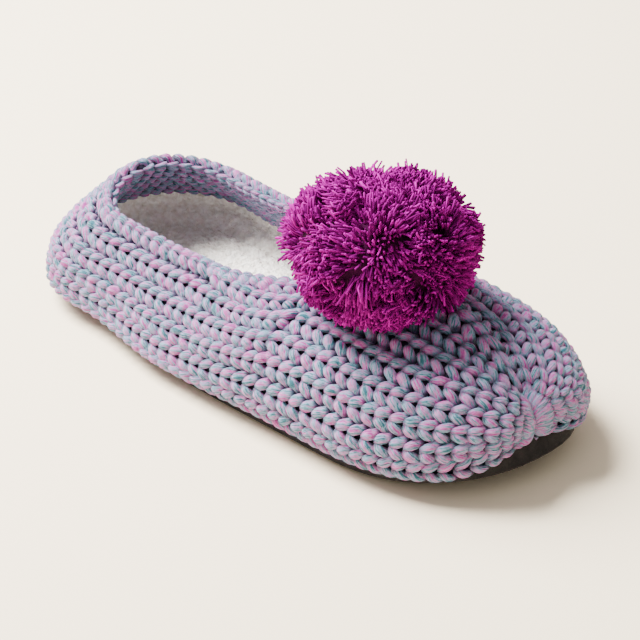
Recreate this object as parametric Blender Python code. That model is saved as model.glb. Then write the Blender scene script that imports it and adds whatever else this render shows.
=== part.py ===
# Knitted slipper: outsole, fleece insole, hollow rib-knit upper and a pompom of cut yarn.
# Frame: X runs from heel to toe, Y to the inner side of this right slipper, Z up, with the
# origin on the floor under the middle of the slipper. Sizes are in millimetres.
import random

import bmesh
import bpy
import numpy as np
from mathutils import Vector
from mathutils.bvhtree import BVHTree

MM = 0.001
LENGTH = 244.0                 # sole outline, heel to toe
BACK_X = -117.9                # where the back of the sole outline lies in the frame
SHIFT_Y = 0.1                  # sets the middle of the overall width on Y = 0
GAP = 0.3                      # between pieces that touch

# Half width of the sole outline along its length, before the ends are rounded
OUTLINE = {
    "x":    (0.0, 40.0, 95.0, 171.0, 244.0),
    "half": (42.0, 42.0, 48.5, 47.0, 46.0),
}
HEEL_ROUND = 36.0              # length over which the heel end rounds in
TOE_ROUND = 61.0
HEEL_POWER = 2.2               # exponent of each rounded end
TOE_POWER = 2.25
TOE_LEAN = 3.0                 # the toe half of the centre line leans inwards
SKEW = 2.1                     # heel end out and toe end in, from the middle

# Height of the collar's rim, and from the throat on of the crest of the vamp
TOP_LINE = {
    "x": (12.8, 22.0, 36.0, 65.0, 98.0, 128.0, 150.0, 176.0, 200.0, 210.5, 219.5, 228.5, 233.0, 236.0),
    "z": (46.8, 43.8, 41.5, 41.2, 43.4, 49.0, 53.0, 54.5, 52.0, 48.6, 44.0, 37.0, 31.0, 27.0),
}
RIM_HALF = 32.3                # half width of the collar opening at its rim
RIM_BACK = 13.8                # x of the rim at the heel
RIM_ROUND = 30.0               # length over which the rim rounds at the heel
THROAT_X = 148.0               # front of the collar opening
THROAT_ROUND = 52.0            # length over which the rim closes at the throat
RIM_POWER = 2.2

EDGE_Z = 3.2                   # lower edge of the knit over the floor
SPRING = 9.4                   # rise of the sole at the toe
SPRING_FROM = 0.72             # share of the length where the rise starts
GATHER_X = 236.0               # where the ribs meet at the toe
GATHER_LOW = 18.0              # lower end of the gather
GATHER_EDGE = 3.0              # the knit's lower edge passes this far in front of the gather
PULL_FROM = 0.55               # share of the toe's fan where the lower edge starts to rise to it
HEEL_SWELL = 0.45              # the back swells more, by this share,
HEEL_SWELL_TO = 70.0           # fading out at this x
ROLL = 3.2                     # the lowest rib rolls out over the edge of the sole
ROLL_SPAN = 0.30               # share of the section that this takes
ROLL_PEAK = 0.33               # share of that where it stands out most
ROLL_FADE = 0.4                # shares of the toe's fan where the roll starts to fade, and over which it does
TOE_LOBE = 8.0                 # the knit swells this much round the gather
PUCKER = 0.6                   # share of that swelling which the gather draws in,
PUCKER_FROM = 0.8              # from this share of the toe's fan on
VAMP_FROM = 88.0               # the sections turn from open walls to a closed dome from here
VAMP_FULL = 156.0              # to here
BULGE = 9.0                    # how far the side of the knit swells over the sole

# Each section is a curve with two handles: out in swells, up and down in heights, across in reaches
LOW_OUT = 1.75                 # lower handle
LOW_UP = 0.34
VAMP_LESS_OUT = 0.15           # and under the vamp
VAMP_MORE_UP = 0.24
COLLAR_OUT = 0.9               # upper handle at the collar
COLLAR_DOWN = 0.32
VAMP_ACROSS = 0.74             # over the vamp
NOSE_ACROSS = 0.35             # and over the toe
NOSE_UP = 0.25
NOSE_FROM = 0.3                # share of the toe's fan where the vamp turns into the toe

RIB_PITCH = 11.0               # from groove to groove
RIB_RELIEF = 2.3               # depth of the grooves
RIB_POWER = 2.2                # how full the ribs are
RIM_FADE = 4.0                 # the grooves die out over this distance at the rim
EDGE_FADE = 3.0                # and at the lower edge
RIBS_AT_VAMP = 7.3             # ribs from the sole to the middle of the seam column
RIBS_AT_COLLAR = 5.5           # ribs from the sole to the top of the rim
RIBS_FROM = 92.0               # x where their number starts to grow towards the throat
RIB_SNAP = 0.12                # columns this close to the crest, in ribs, end on it
GATHER_FADE = 0.07             # share of the outline over which the grooves die out at the gather
SEAM_FROM = 7.0                # rib count where the seam column starts
SEAM_RISE = 1.0                # the seam column stands over the ribs

TOE_CAP = 0.925                # past this share of the outline the inside closes straight to the gather
INNER_DROP = 4.0               # and ends this far under the top of the gather
WALL = 5.5                     # knit and fleece together, at a rib's top
RIM_RADIUS = 4.5               # rolled rim
RIM_SLOPE_AT = 0.93            # share of the section where the slope of the knit at the rim is read
RIM_MIDDLE_X = 90.0            # the front half of the rim starts here
FACING = 26.5                  # depth of the folded-in facing at the sides
FACING_THROAT = 2.0            # and under the throat
FACING_FADE = 96.0             # the facing grows shallower from here to the throat
FACING_RIBS = 3
FACING_RELIEF = 1.0
FACING_STEP = 1.5              # from the facing's end to the fleece under it

SOLE_THICK = 2.7               # plate under the foot
SOLE_EDGE_ROUND = 1.2          # rounded lower edge of the sole
SOLE_TUCK = 0.6                # the side of the sole, inside its outline
LEDGE_TUCK = 0.4               # the top of that side, inside the knit's edge
SOLE_RIM_WIDTH = 5.0           # ledge that carries the knit
LEDGE_SLOPE = 1.6              # from the ledge in to the plate
INSOLE_THICK = 4.0
INSOLE_SIDE = 0.7              # share of its thickness where its side ends
INSOLE_BEVEL = 2.0             # and its top starts this far in
INSOLE_CLEAR = 2.2             # from the wall

POMPOM_AT = (172.0, -9.0, 74.0)    # centre: along the sole, from the centre line, height
POMPOM_HALF = (40.0, 40.0, 28.0)   # half sizes along X, Y and Z, over the locks
LOCK_DEPTH = 7.0               # how far the locks stand out of the core
LOCK_GAP = 1.7                 # half the slit between two locks at their ends
LOCK_UNEVEN = 3.0              # some locks are this much shorter
LOCK_DRIFT = 1.6               # and stand off an even pattern by this much
POMPOM_SEED = 11
POMPOM_SEAT = 0.8              # the locks end this far over the knit
SETTLE_PASSES = 6
SLANT_LEAST = 0.25             # least slant at which a lock's distance to the knit is counted

ROWS_COLLAR = 23               # sections from the heel to the throat, on each side
ROWS_VAMP = 18                 # and from the throat to the toe
STEPS_PER_RIB = 4
COLUMNS = 29                   # steps from the sole to the middle of the seam column
INNER_COLUMNS = 7
RIM_STEPS = 4
FACING_STEPS = 6

HEEL_FAN = 38.0                # the sections fan round the heel behind this x
TOE_FAN = LENGTH - 62.0        # and round the toe in front of this one
UP = np.array([0.0, 0.0, 1.0])


def smooth(q):
    q = np.clip(q, 0.0, 1.0)
    return q * q * (3.0 - 2.0 * q)


def unit(vectors):
    return vectors / (np.linalg.norm(vectors, axis=-1, keepdims=True) + 1e-12)


def read_curve(table, column, x):
    """Smooth curve through a table's column, with no overshoot between its rows."""
    xs, ys = np.array(table["x"], float), np.array(table[column], float)
    steps = np.diff(xs)
    rises = np.diff(ys) / steps
    slopes = np.zeros_like(xs)
    slopes[0], slopes[-1] = rises[0], rises[-1]
    for i in range(1, len(xs) - 1):
        before, after = rises[i - 1], rises[i]
        if before * after > 0.0:
            slopes[i] = 2.0 * before * after / (before + after)
    x = np.clip(x, xs[0], xs[-1])
    i = np.clip(np.searchsorted(xs, x) - 1, 0, len(xs) - 2)
    t = (x - xs[i]) / steps[i]
    value = (2 * t**3 - 3 * t**2 + 1) * ys[i] + (3 * t**2 - 2 * t**3) * ys[i + 1]
    return value + ((t**3 - 2 * t**2 + t) * slopes[i] + (t**3 - t**2) * slopes[i + 1]) * steps[i]


def round_end(distance, length, power):
    """1 away from an end, falling to 0 at it on a rounded curve."""
    q = np.clip(1.0 - distance / length, 0.0, 1.0)
    return (1.0 - q**power) ** (1.0 / power)


def half_width(x):
    ends = round_end(x, HEEL_ROUND, HEEL_POWER) * round_end(LENGTH - x, TOE_ROUND, TOE_POWER)
    return read_curve(OUTLINE, "half", x) * ends


def centre_line(x):
    lean = TOE_LEAN * smooth((x - 0.4 * LENGTH) / (0.6 * LENGTH))
    return lean + SKEW * (2.0 * x / LENGTH - 1.0)


def sole_lift(x):
    q = np.clip((x - SPRING_FROM * LENGTH) / ((1.0 - SPRING_FROM) * LENGTH), 0.0, 1.0)
    return SPRING * q * q


def rim_half(x):
    """Half width of the collar opening."""
    ends = round_end(x - RIM_BACK, RIM_ROUND, RIM_POWER) * round_end(THROAT_X - x, THROAT_ROUND, RIM_POWER)
    return np.where(x < THROAT_X, RIM_HALF * ends, 0.0)


def arc_lengths(points):
    return np.concatenate([[0.0], np.cumsum(np.linalg.norm(np.diff(points, axis=0), axis=1))])


def along(points, shares):
    """Points at shares of a polyline's length."""
    arcs = arc_lengths(points)
    return np.stack([np.interp(shares * arcs[-1], arcs, points[:, k]) for k in range(points.shape[1])], -1)


def sole_line(side):
    """Dense outline of one side of the sole, with arc lengths shared by both sides and outward normals."""
    x = LENGTH / 2.0 * (1.0 - np.cos(np.linspace(0.0, np.pi, 400)))
    line = np.stack([x, centre_line(x) + side * half_width(x)], -1)
    tangent = np.gradient(line, axis=0)
    outward = unit(np.stack([-side * tangent[:, 1], side * tangent[:, 0]], -1))
    return line, arc_lengths(np.stack([x, half_width(x)], -1)), outward


SOLE_LINES = {side: sole_line(side) for side in (-1, 1)}


def station_of(x):
    """Share of the outline's arc at which the sole line passes x."""
    line, arcs, _ = SOLE_LINES[1]
    return np.interp(x, line[:, 0], arcs) / arcs[-1]


def frame_of(side, t):
    """Lower edge, crest and directions of the sections at stations t."""
    line, arcs, outward = SOLE_LINES[side]
    s = t * arcs[-1]
    foot = np.stack([np.interp(s, arcs, line[:, k]) for k in (0, 1)], -1)
    out = unit(np.stack([np.interp(s, arcs, outward[:, k]) for k in (0, 1)], -1))
    heel_arc = np.interp(HEEL_FAN, line[:, 0], arcs)
    toe_arc = np.interp(TOE_FAN, line[:, 0], arcs)
    toe = np.clip((s - toe_arc) / (arcs[-1] - toe_arc), 0.0, 1.0)

    rim_x = RIM_BACK + (HEEL_FAN - RIM_BACK) * np.linspace(0.0, 1.0, 200) ** 2    # closer at the heel
    heel_rim = along(np.stack([rim_x, rim_half(rim_x)], -1), np.clip(s / heel_arc, 0.0, 1.0))
    nose_x = np.linspace(TOE_FAN, GATHER_X, 200)
    nose = along(np.stack([nose_x, read_curve(TOP_LINE, "z", nose_x)], -1), toe)
    in_heel, in_toe = foot[:, 0] < HEEL_FAN, foot[:, 0] > TOE_FAN
    crest_x = np.where(in_heel, heel_rim[:, 0], np.where(in_toe, nose[:, 0], foot[:, 0]))
    crest_half = np.where(in_heel, heel_rim[:, 1], np.where(in_toe, 0.0, rim_half(crest_x)))
    crest_y = centre_line(crest_x) + side * crest_half
    crest = np.stack([crest_x, crest_y, read_curve(TOP_LINE, "z", crest_x)], -1)

    pull = smooth((toe - PULL_FROM) / (1.0 - PULL_FROM))
    foot_x = foot[:, 0] * (1.0 - pull) + pull * np.minimum(foot[:, 0], GATHER_X + GATHER_EDGE)
    foot_z = EDGE_Z + sole_lift(foot[:, 0])
    foot_z = foot_z + pull * (GATHER_LOW - foot_z)
    edge = np.stack([foot_x, foot[:, 1], foot_z], -1)
    out = np.concatenate([out, np.zeros((len(s), 1))], 1)
    return edge, crest, out, toe


def handles_of(side, edge, crest, out, toe):
    """The two inner control points of each section's curve."""
    height = (crest[:, 2] - edge[:, 2])[:, None]
    reach = np.linalg.norm((crest - edge)[:, :2], axis=1)[:, None]
    pucker = 1.0 - PUCKER * smooth((toe - PUCKER_FROM) / (1.0 - PUCKER_FROM))[:, None]
    swell = BULGE * pucker * (1.0 + HEEL_SWELL * smooth((HEEL_SWELL_TO - edge[:, :1]) / HEEL_SWELL_TO))
    vamp = smooth((crest[:, 0] - VAMP_FROM) / (VAMP_FULL - VAMP_FROM))[:, None]
    nose = smooth((toe - NOSE_FROM) / (1.0 - NOSE_FROM))[:, None]
    sideways = np.array([0.0, side, 0.0])
    low = edge + out * swell * (LOW_OUT - VAMP_LESS_OUT * vamp) + UP * height * (LOW_UP + VAMP_MORE_UP * vamp)
    collar_pull = out * swell * COLLAR_OUT - UP * height * COLLAR_DOWN
    vamp_pull = (out + sideways) / 2.0 * reach * VAMP_ACROSS
    nose_pull = out * (reach * NOSE_ACROSS + TOE_LOBE * pucker) + UP * height * NOSE_UP
    vamp_pull = vamp_pull * (1.0 - nose) + nose_pull * nose
    return low, crest + collar_pull * (1.0 - vamp) + vamp_pull * vamp


def roll_out(v):
    """How far the lowest rib swells out: a quick rise from the sole, then a soft fall."""
    q = np.clip(v / ROLL_SPAN, 0.0, 1.0)
    rise = np.clip(q / ROLL_PEAK, 0.0, 1.0)
    return (1.0 - (1.0 - rise)**2) * (1.0 - smooth((q - ROLL_PEAK) / (1.0 - ROLL_PEAK)))


def shell(side, t, v, roll=ROLL):
    """Outer surface over the tops of the ribs: t from heel to toe, v from the sole to the crest."""
    t, v = np.broadcast_arrays(np.asarray(t, float), np.asarray(v, float))
    edge, crest, out, toe = frame_of(side, t.ravel())
    low, high = handles_of(side, edge, crest, out, toe)
    v = v.ravel()[:, None]
    points = (1 - v)**3 * edge + 3 * (1 - v)**2 * v * low + 3 * (1 - v) * v**2 * high + v**3 * crest
    points = points + out * roll * roll_out(v) * (1.0 - smooth((toe - ROLL_FADE) / ROLL_FADE))[:, None]
    return points.reshape(t.shape + (3,))


def shell_normal(side, t, v, roll=ROLL):
    """Outward normals, read a little inside the places where the sections pinch together."""
    t, v = np.broadcast_arrays(np.asarray(t, float), np.asarray(v, float))
    ts, vs = np.clip(t, 0.008, 0.965), np.clip(v, 0.03, 0.95)
    dt, dv = 0.006, 0.02
    by_t = shell(side, ts + dt, vs, roll) - shell(side, ts - dt, vs, roll)
    by_v = shell(side, ts, vs + dv, roll) - shell(side, ts, vs - dv, roll)
    normal = unit(-side * np.cross(by_t, by_v))
    pinch = smooth((t - 0.965) / 0.035)[..., None]
    middle = np.maximum(pinch, smooth((0.03 - t) / 0.03)[..., None])
    normal[..., 1:2] *= 1.0 - middle
    return unit(normal)


def ribs_to_crest(side, t):
    """Ribs between the sole and the crest: fewer along the collar, where the rim folds them in."""
    _, crest, _, _ = frame_of(side, t)
    share = smooth((crest[:, 0] - RIBS_FROM) / (THROAT_X - RIBS_FROM))
    return RIBS_AT_COLLAR + (RIBS_AT_VAMP - RIBS_AT_COLLAR) * share


def rib_columns(count):
    """Rib coordinate of each column; columns past the crest of a row end on it."""
    columns = np.minimum(np.arange(COLUMNS + 1) / STEPS_PER_RIB, RIBS_AT_VAMP)
    w = np.minimum(columns, count[:, None])
    return np.where(columns > count[:, None] - RIB_SNAP, count[:, None], w)


def rib_height(w):
    """1 on a rib's top, 0 in a groove; the seam column stands a little higher."""
    rib = 1.0 - np.abs(2.0 * (w - np.floor(w)) - 1.0) ** RIB_POWER
    seam = (w - SEAM_FROM) / (RIBS_AT_VAMP - SEAM_FROM)
    return np.where(w > SEAM_FROM, smooth(seam) * (1.0 + SEAM_RISE / RIB_RELIEF), rib)


def ribbed(side, t):
    """Outer wall with its ribs: rows at stations t, columns from the sole to the crest."""
    count = ribs_to_crest(side, t)
    w = rib_columns(count)
    v = w / count[:, None]
    ts = np.repeat(t[:, None], v.shape[1], 1)
    base = shell(side, ts, v)
    span = arc_of_sections(base)
    pitch = span[:, -1:] / count[:, None]
    relief = RIB_RELIEF * np.clip(pitch / RIB_PITCH, 0.0, 1.0) * smooth((1.0 - t[:, None]) / GATHER_FADE)
    to_rim = np.where(t[:, None] <= station_of(THROAT_X), smooth((span[:, -1:] - span) / RIM_FADE), 1.0)
    edge_fade = smooth(span / EDGE_FADE)
    depth = relief * (1.0 - rib_height(w)) * to_rim * edge_fade
    return base - shell_normal(side, ts, v) * depth[..., None]


def arc_of_sections(rows):
    """Arc length along each row of points."""
    steps = np.linalg.norm(np.diff(rows, axis=1), axis=2)
    return np.concatenate([np.zeros((len(rows), 1)), np.cumsum(steps, axis=1)], 1)


def rim_directions(side, t):
    """Level direction into the opening at the rim, and the slope of the knit where it rolls over."""
    _, crest, _, _ = frame_of(side, t)
    delta = 1e-3
    ahead = frame_of(side, np.minimum(t + delta, station_of(THROAT_X)))[1]
    behind = frame_of(side, np.maximum(t - delta, 0.0))[1]
    run = unit((ahead - behind) * [1.0, 1.0, 0.0])
    inward = np.stack([side * run[:, 1], -side * run[:, 0], 0.0 * run[:, 0]], -1)
    inward[0] = (1.0, 0.0, 0.0)
    inward[-1] = (-1.0, 0.0, 0.0)
    near = crest - shell(side, t, np.full_like(t, RIM_SLOPE_AT))
    level = np.linalg.norm(near[:, :2], axis=1)
    front = np.clip(-inward[:, 0], 0.0, 1.0) * (crest[:, 0] > RIM_MIDDLE_X)
    slope = np.arctan2(near[:, 2], level) * (1.0 - front)
    return inward, slope, front


def rolled_rim(side, t):
    """Half round from the crest to the facing, without its first point."""
    _, crest, _, _ = frame_of(side, t)
    inward, slope, _ = rim_directions(side, t)
    rise, run = np.sin(slope)[:, None], np.cos(slope)[:, None]
    centre = crest + RIM_RADIUS * (inward * rise - UP * run)
    rows = []
    for step in range(1, RIM_STEPS + 1):
        turn = (slope - np.pi * step / RIM_STEPS)[:, None]
        rows.append(centre + RIM_RADIUS * (UP * np.cos(turn) - inward * np.sin(turn)))
    return np.stack(rows, 1)


def facing_paths(side, t):
    """Depth of the facing, and the steps in station and share of the section for a millimetre down it."""
    _, _, front = rim_directions(side, t)
    _, crest, _, _ = frame_of(side, t)
    fade = smooth((crest[:, 0] - FACING_FADE) / (THROAT_X - FACING_FADE))
    depth = FACING + (FACING_THROAT - FACING) * fade
    span = arc_of_sections(shell(side, t[:, None], np.linspace(0, 1, 24)[None, :]))[:, -1]
    return depth, front / SOLE_LINES[side][1][-1], np.sqrt(1.0 - front**2) / span


def lining(side, t, v, depth):
    """Inner side of the wall, the given depth under the tops of the ribs."""
    return shell(side, t, v, 0.0) - shell_normal(side, t, v, 0.0) * np.asarray(depth)[..., None]


def facing(side, t):
    """Folded-in band under the rim, with its thin ribs."""
    depth, by_t, by_v = facing_paths(side, t)
    shares = np.arange(1, FACING_STEPS + 1) / FACING_STEPS
    s = depth[:, None] * shares
    thin = 0.5 - 0.5 * np.cos(2.0 * np.pi * FACING_RIBS * shares)
    thickness = 2.0 * RIM_RADIUS - FACING_RELIEF * thin[None, :] * np.ones_like(s)
    return lining(side, t[:, None] + s * by_t[:, None], 1.0 - s * by_v[:, None], thickness)


def inner_wall(side, t, throat):
    """Inside of the wall from the facing, or under the vamp from the crest, to the lower edge."""
    collar = t[t <= throat + 1e-9]
    depth, by_t, by_v = facing_paths(side, collar)
    start_t = collar + (depth + FACING_STEP) * by_t
    start_v = 1.0 - (depth + FACING_STEP) * by_v
    vamp = t[len(collar):]
    front_t = vamp + (1.0 - vamp) / (1.0 - throat) * (start_t[-1] - throat)
    start_t = np.concatenate([start_t, front_t])
    start_v = np.concatenate([start_v, np.ones(len(vamp))])
    shares = np.linspace(0.0, 1.0, INNER_COLUMNS + 1)
    ts = start_t[:, None] + (t - start_t)[:, None] * shares
    vs = start_v[:, None] * (1.0 - shares)
    rows = lining(side, ts, vs, np.full_like(ts, WALL))
    edge, _, out, _ = frame_of(side, t)
    rows[:, -1] = edge - out * WALL
    last = np.flatnonzero(t < TOE_CAP)[-1]
    top = np.array([GATHER_X - WALL, centre_line(GATHER_X), TOP_LINE["z"][-1] - INNER_DROP])
    tip = top + (rows[-1, -1] - top) * shares[:, None]
    for i in range(last + 1, len(t)):
        share = (t[i] - t[last]) / (1.0 - t[last])
        rows[i, :-1] = (rows[last] + (tip - rows[last]) * share)[:-1]
    return rows


def stations():
    """Rows from heel to toe, with one at the front of the collar opening."""
    throat = station_of(THROAT_X)
    return np.concatenate([np.linspace(0.0, throat, ROWS_COLLAR),
                           np.linspace(throat, 1.0, ROWS_VAMP + 1)[1:]]), throat


def meet(near, far, rows):
    """Put chosen points of the two sides on the centre line, where they meet."""
    middle = (near[rows] + far[rows]) / 2.0
    middle[..., 1] = centre_line(middle[..., 0])
    near[rows] = far[rows] = middle


class Skin:
    """A mesh made of strips of quads, whose shared points are welded at the end."""

    def __init__(self, bm=None):
        self.bm = bm or bmesh.new()

    def grid(self, rows, flip):
        """Quads over a grid of points, rows by columns."""
        verts = [[self.bm.verts.new(Vector(p)) for p in row] for row in rows]
        for above, below in zip(verts, verts[1:]):
            for a, b, c, d in zip(above, above[1:], below[1:], below):
                self.bm.faces.new((a, d, c, b) if flip else (a, b, c, d))

    def finish(self, name, material, weld=0.02):
        """Weld, scale to metres, put in place and hand over as an object."""
        bm = self.bm
        bmesh.ops.remove_doubles(bm, verts=bm.verts, dist=weld)
        bmesh.ops.dissolve_degenerate(bm, edges=bm.edges, dist=weld)
        bmesh.ops.recalc_face_normals(bm, faces=bm.faces)
        if bm.calc_volume(signed=True) < 0.0:
            bmesh.ops.reverse_faces(bm, faces=bm.faces)
        bmesh.ops.translate(bm, verts=bm.verts, vec=(BACK_X, SHIFT_Y, 0.0))
        bmesh.ops.scale(bm, verts=bm.verts, vec=(MM, MM, MM))
        mesh = bpy.data.meshes.new(name)
        bm.to_mesh(mesh)
        bm.free()
        mesh.shade_smooth()
        mesh.materials.append(material)
        piece = bpy.data.objects.new(name, mesh)
        bpy.context.scene.collection.objects.link(piece)
        return piece


def make_material(name, colour, roughness):
    material = bpy.data.materials.new(name)
    material.use_nodes = True
    shader = material.node_tree.nodes["Principled BSDF"]
    shader.inputs["Base Color"].default_value = (*colour, 1.0)
    shader.inputs["Roughness"].default_value = roughness
    shader.inputs["Metallic"].default_value = 0.0
    return material


def make_upper():
    """Hollow knitted piece: ribbed outside, rolled rim, facing, inner wall and lower edge."""
    t, throat = stations()
    collar = t[t <= throat + 1e-9]
    front = len(collar) - 1
    parts = {}
    for side in (-1, 1):
        parts[side] = {
            "outer": ribbed(side, t),
            "inner": inner_wall(side, t, throat),
            "rim": rolled_rim(side, collar),
            "band": facing(side, collar),
        }
    for name in parts[1]:
        near, far = parts[-1][name], parts[1][name]
        meet(near, far, [0, -1])
    meet(parts[-1]["outer"], parts[1]["outer"], (slice(front, None), -1))
    meet(parts[-1]["inner"], parts[1]["inner"], (slice(front, None), 0))
    skin = Skin()
    for side, part in parts.items():
        outer, inner = part["outer"], part["inner"]
        edge = slice(0, front + 1)
        roll = np.concatenate([outer[edge, -1:], part["rim"], part["band"], inner[edge, :1]], 1)
        lip = np.stack([inner[:, -1], outer[:, 0]], 1)
        for rows in (outer, inner, roll, lip):
            skin.grid(rows, side > 0)
    return skin.finish("upper", make_material("rib_knit", (0.42, 0.42, 0.55), 0.85))


def ledge(side, t, inset, drop):
    """Line under the knit's lower edge, moved inwards and down."""
    edge, _, out, _ = frame_of(side, t)
    return edge - out * inset - UP * drop


def inside_row(side, t, inset, rise):
    """Line inside the knit's lower edge, the given height over the underside of the sole."""
    line = ledge(side, t, inset, 0.0)
    line[:, 2] = sole_lift(line[:, 0]) + rise
    return line


def sole_row(side, t, inset, rise):
    """Line along the sole outline, moved inwards, the given height over the underside."""
    line, arcs, outward = SOLE_LINES[side]
    s = t * arcs[-1]
    foot = np.stack([np.interp(s, arcs, line[:, k]) for k in (0, 1)], -1)
    out = unit(np.stack([np.interp(s, arcs, outward[:, k]) for k in (0, 1)], -1))
    foot = foot - out * inset
    return np.concatenate([foot, (sole_lift(foot[:, 0]) + rise)[:, None]], 1)


def sole_block(profiles):
    """Closed flat piece from lines on both sides, listed from the underside up and in to the top."""
    meet(profiles[-1], profiles[1], [0, -1])
    skin = Skin()
    for side in (-1, 1):
        skin.grid(profiles[side], side > 0)
    for column in (0, -1):
        skin.grid(np.stack([profiles[-1][:, column], profiles[1][:, column]], 1), column < 0)
    return skin


def make_outsole():
    """Thin sole: flat underside with toe spring, rounded edge, and a ledge that rises at the toe."""
    t, _ = stations()
    profiles = {}
    for side in (-1, 1):
        profiles[side] = np.stack([
            sole_row(side, t, SOLE_EDGE_ROUND + 1.0, 0.0),
            sole_row(side, t, SOLE_TUCK, SOLE_EDGE_ROUND),
            ledge(side, t, LEDGE_TUCK, GAP),
            ledge(side, t, SOLE_RIM_WIDTH, GAP),
            inside_row(side, t, SOLE_RIM_WIDTH + LEDGE_SLOPE, SOLE_THICK),
        ], 1)
    return sole_block(profiles).finish("outsole", make_material("grey_sole", (0.09, 0.09, 0.10), 0.8))


def make_insole():
    """Fleece footbed on the sole, a little inside the wall."""
    t, _ = stations()
    clear = WALL + INSOLE_CLEAR
    base = SOLE_THICK + GAP
    profiles = {}
    for side in (-1, 1):
        profiles[side] = np.stack([
            inside_row(side, t, clear, base),
            inside_row(side, t, clear, base + INSOLE_SIDE * INSOLE_THICK),
            inside_row(side, t, clear + INSOLE_BEVEL, base + INSOLE_THICK),
        ], 1)
    return sole_block(profiles).finish("insole", make_material("cream_fleece", (0.80, 0.74, 0.64), 0.95))


def seat_tree(upper):
    """The finished upper with a lid over its opening, for the pompom to rest on."""
    place = np.array([BACK_X, SHIFT_Y, 0.0])
    verts = [Vector(np.array(vert.co) / MM - place) for vert in upper.data.vertices]
    faces = [tuple(face.vertices) for face in upper.data.polygons]
    t = np.linspace(0.0, station_of(THROAT_X), 60)
    start = len(verts)
    for near, far in zip(frame_of(-1, t)[1], frame_of(1, t)[1]):
        verts += [Vector(near), Vector(far)]
    for i in range(len(t) - 1):
        a = start + 2 * i
        faces.append((a, a + 1, a + 3, a + 2))
    return BVHTree.FromPolygons(verts, faces)


def room_along(tree, centre, point):
    """Share of the way from the centre to a point that stays clear of the knit."""
    ray = point - centre
    hit, normal, _, distance = tree.ray_cast(centre, ray.normalized())
    if hit is None:
        return 1.0
    slant = max(abs(normal.dot(ray.normalized())), SLANT_LEAST)
    return min(1.0, (distance - POMPOM_SEAT / slant) / ray.length)


def settle(bm, tree, centre):
    """Pull the locks back until neither their corners nor the faces between them reach the knit."""
    for vert in bm.verts:
        vert.co = centre + (vert.co - centre) * room_along(tree, centre, vert.co)
    for _ in range(SETTLE_PASSES):
        for face in bm.faces:
            corners = [vert.co for vert in face.verts]
            samples = [face.calc_center_median()]
            samples += [(a + b) / 2.0 for a, b in zip(corners, corners[1:] + corners[:1])]
            share = min(room_along(tree, centre, sample) for sample in samples)
            if share < 1.0:
                for vert in face.verts:
                    vert.co = centre + (vert.co - centre) * share


def make_pompom(upper):
    """Ball of cut yarn whose locks are fused to its core, flattened where it rests on the knit."""
    chance = random.Random(POMPOM_SEED)
    bm = bmesh.new()
    core = POMPOM_HALF[0] - LOCK_DEPTH
    bmesh.ops.create_icosphere(bm, subdivisions=3, radius=core)
    for vert in bm.verts:
        drift = Vector([chance.uniform(-LOCK_DRIFT, LOCK_DRIFT) for _ in range(3)])
        vert.co = (vert.co + drift).normalized() * core
    for lock in list(bm.faces):
        depth = LOCK_DEPTH - chance.uniform(0.0, LOCK_UNEVEN)
        bmesh.ops.inset_individual(bm, faces=[lock], thickness=LOCK_GAP, depth=depth, use_even_offset=False)
    centre = Vector((POMPOM_AT[0], centre_line(np.float64(POMPOM_AT[0])) + POMPOM_AT[1], POMPOM_AT[2]))
    squash = POMPOM_HALF[2] / POMPOM_HALF[0]
    for vert in bm.verts:
        vert.co = centre + Vector((vert.co.x, vert.co.y, vert.co.z * squash))
    settle(bm, seat_tree(upper), centre)
    return Skin(bm).finish("pompom", make_material("cut_yarn", (0.36, 0.02, 0.28), 0.9))


def main():
    for old in list(bpy.data.objects):
        bpy.data.objects.remove(old, do_unlink=True)
    make_outsole()
    make_insole()
    make_pompom(make_upper())


main()
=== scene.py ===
import math

import bmesh
import bpy
import numpy as np
from mathutils import Matrix, Vector, noise
from mathutils.bvhtree import BVHTree


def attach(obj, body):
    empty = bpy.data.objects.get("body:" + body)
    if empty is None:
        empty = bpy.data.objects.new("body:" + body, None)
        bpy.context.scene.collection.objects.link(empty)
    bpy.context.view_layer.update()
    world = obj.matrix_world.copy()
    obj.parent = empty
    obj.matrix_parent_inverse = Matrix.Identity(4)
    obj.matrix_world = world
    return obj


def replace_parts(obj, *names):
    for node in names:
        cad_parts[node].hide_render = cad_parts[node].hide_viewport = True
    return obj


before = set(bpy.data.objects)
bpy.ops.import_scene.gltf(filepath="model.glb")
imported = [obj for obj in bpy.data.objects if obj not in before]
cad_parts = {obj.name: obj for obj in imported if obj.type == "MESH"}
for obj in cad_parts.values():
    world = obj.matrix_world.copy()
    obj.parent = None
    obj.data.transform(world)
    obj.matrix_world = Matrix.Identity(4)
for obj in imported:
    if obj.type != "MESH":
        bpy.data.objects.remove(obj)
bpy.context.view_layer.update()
mm = 0.001
up = np.array([0.0, 0.0, 1.0])

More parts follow.
